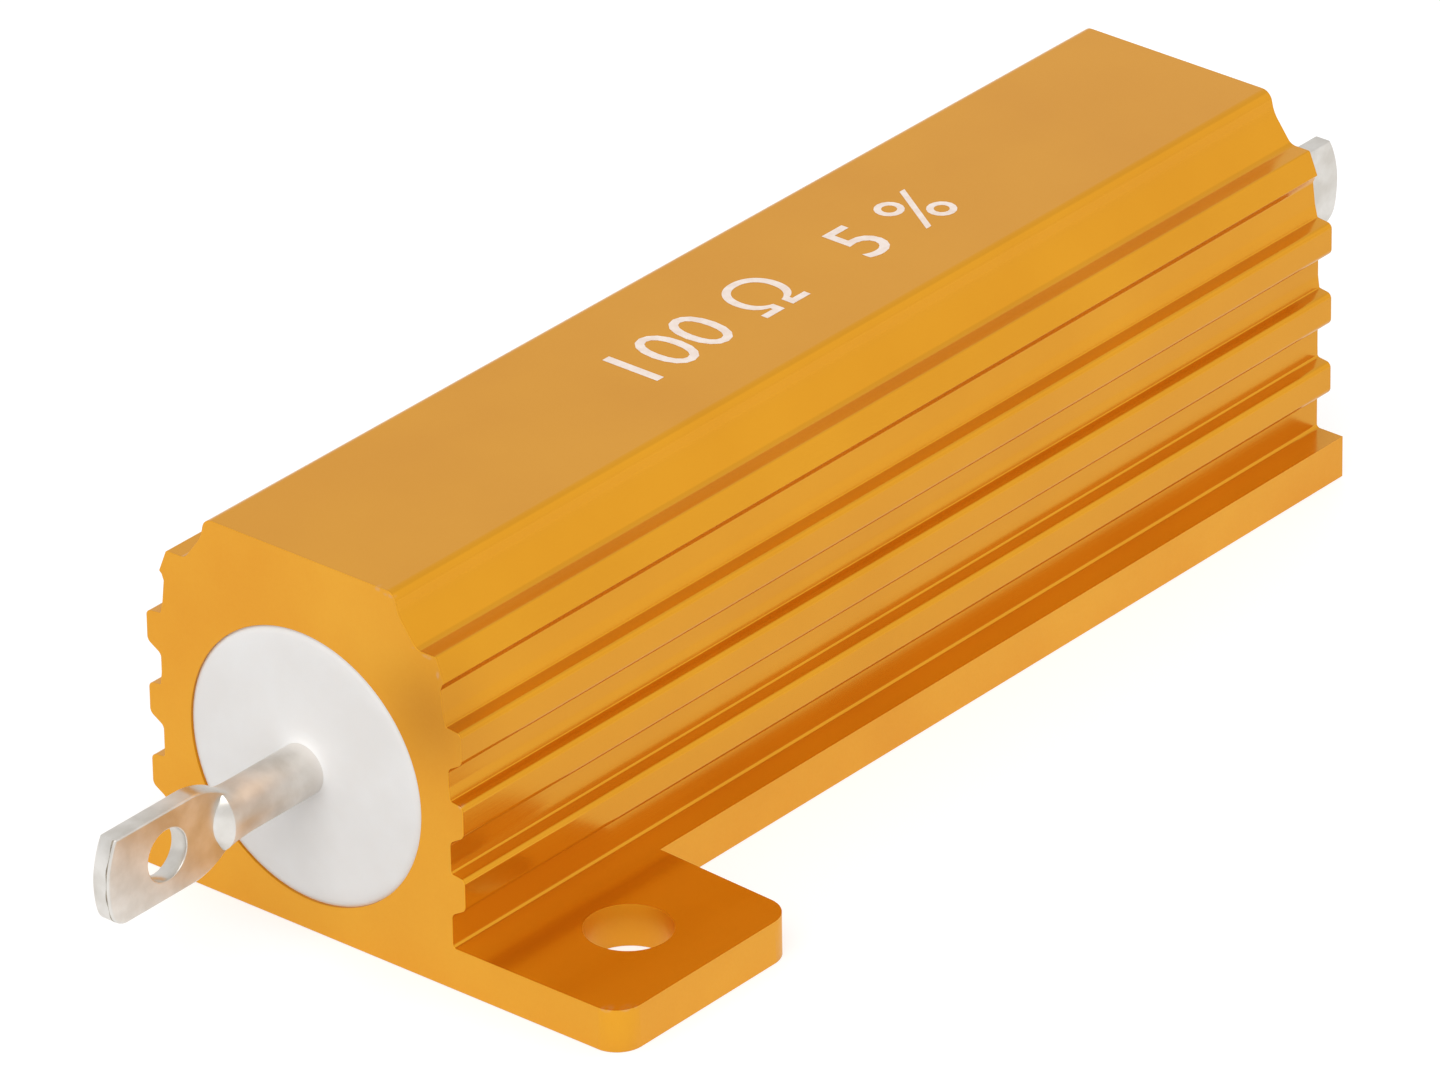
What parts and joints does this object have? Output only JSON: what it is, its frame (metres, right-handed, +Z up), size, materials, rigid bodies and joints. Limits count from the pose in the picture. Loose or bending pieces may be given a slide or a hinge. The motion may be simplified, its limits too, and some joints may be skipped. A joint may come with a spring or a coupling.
{
  "type": "aluminium housed power resistor",
  "caption": "Chassis-mount power resistor: finned gold-anodised aluminium housing with diagonal screw lugs, white end seals and flat pierced solder eyelets.",
  "frame": {"origin": "middle of the housing's flat underside", "axes": "+X along the housing towards the rear lead, +Z up from the underside, -Y towards the side whose lug is at the front end"},
  "size_m": [0.0704, 0.029, 0.0152],
  "materials": {
    "anodised_aluminium": "gold anodised, semi-gloss on the extruded faces and matt on the sawn ends",
    "tinned_lead": "tin plated, satin",
    "white_cement": "smooth off-white, slightly glossy",
    "steatite": "matt unglazed",
    "resistance_alloy": "oxidised drawn wire",
    "plated_steel": "bright plated"
  },
  "bodies": {
    "root": {"housing": "anodised_aluminium", "front_terminal": "tinned_lead", "rear_terminal": "tinned_lead", "front_end_plug": "white_cement", "rear_end_plug": "white_cement", "ceramic_rod": "steatite", "resistance_winding": "resistance_alloy", "front_end_cup": "plated_steel", "rear_end_cup": "plated_steel", "cement_filling": "white_cement"}
  },
  "joints": []
}
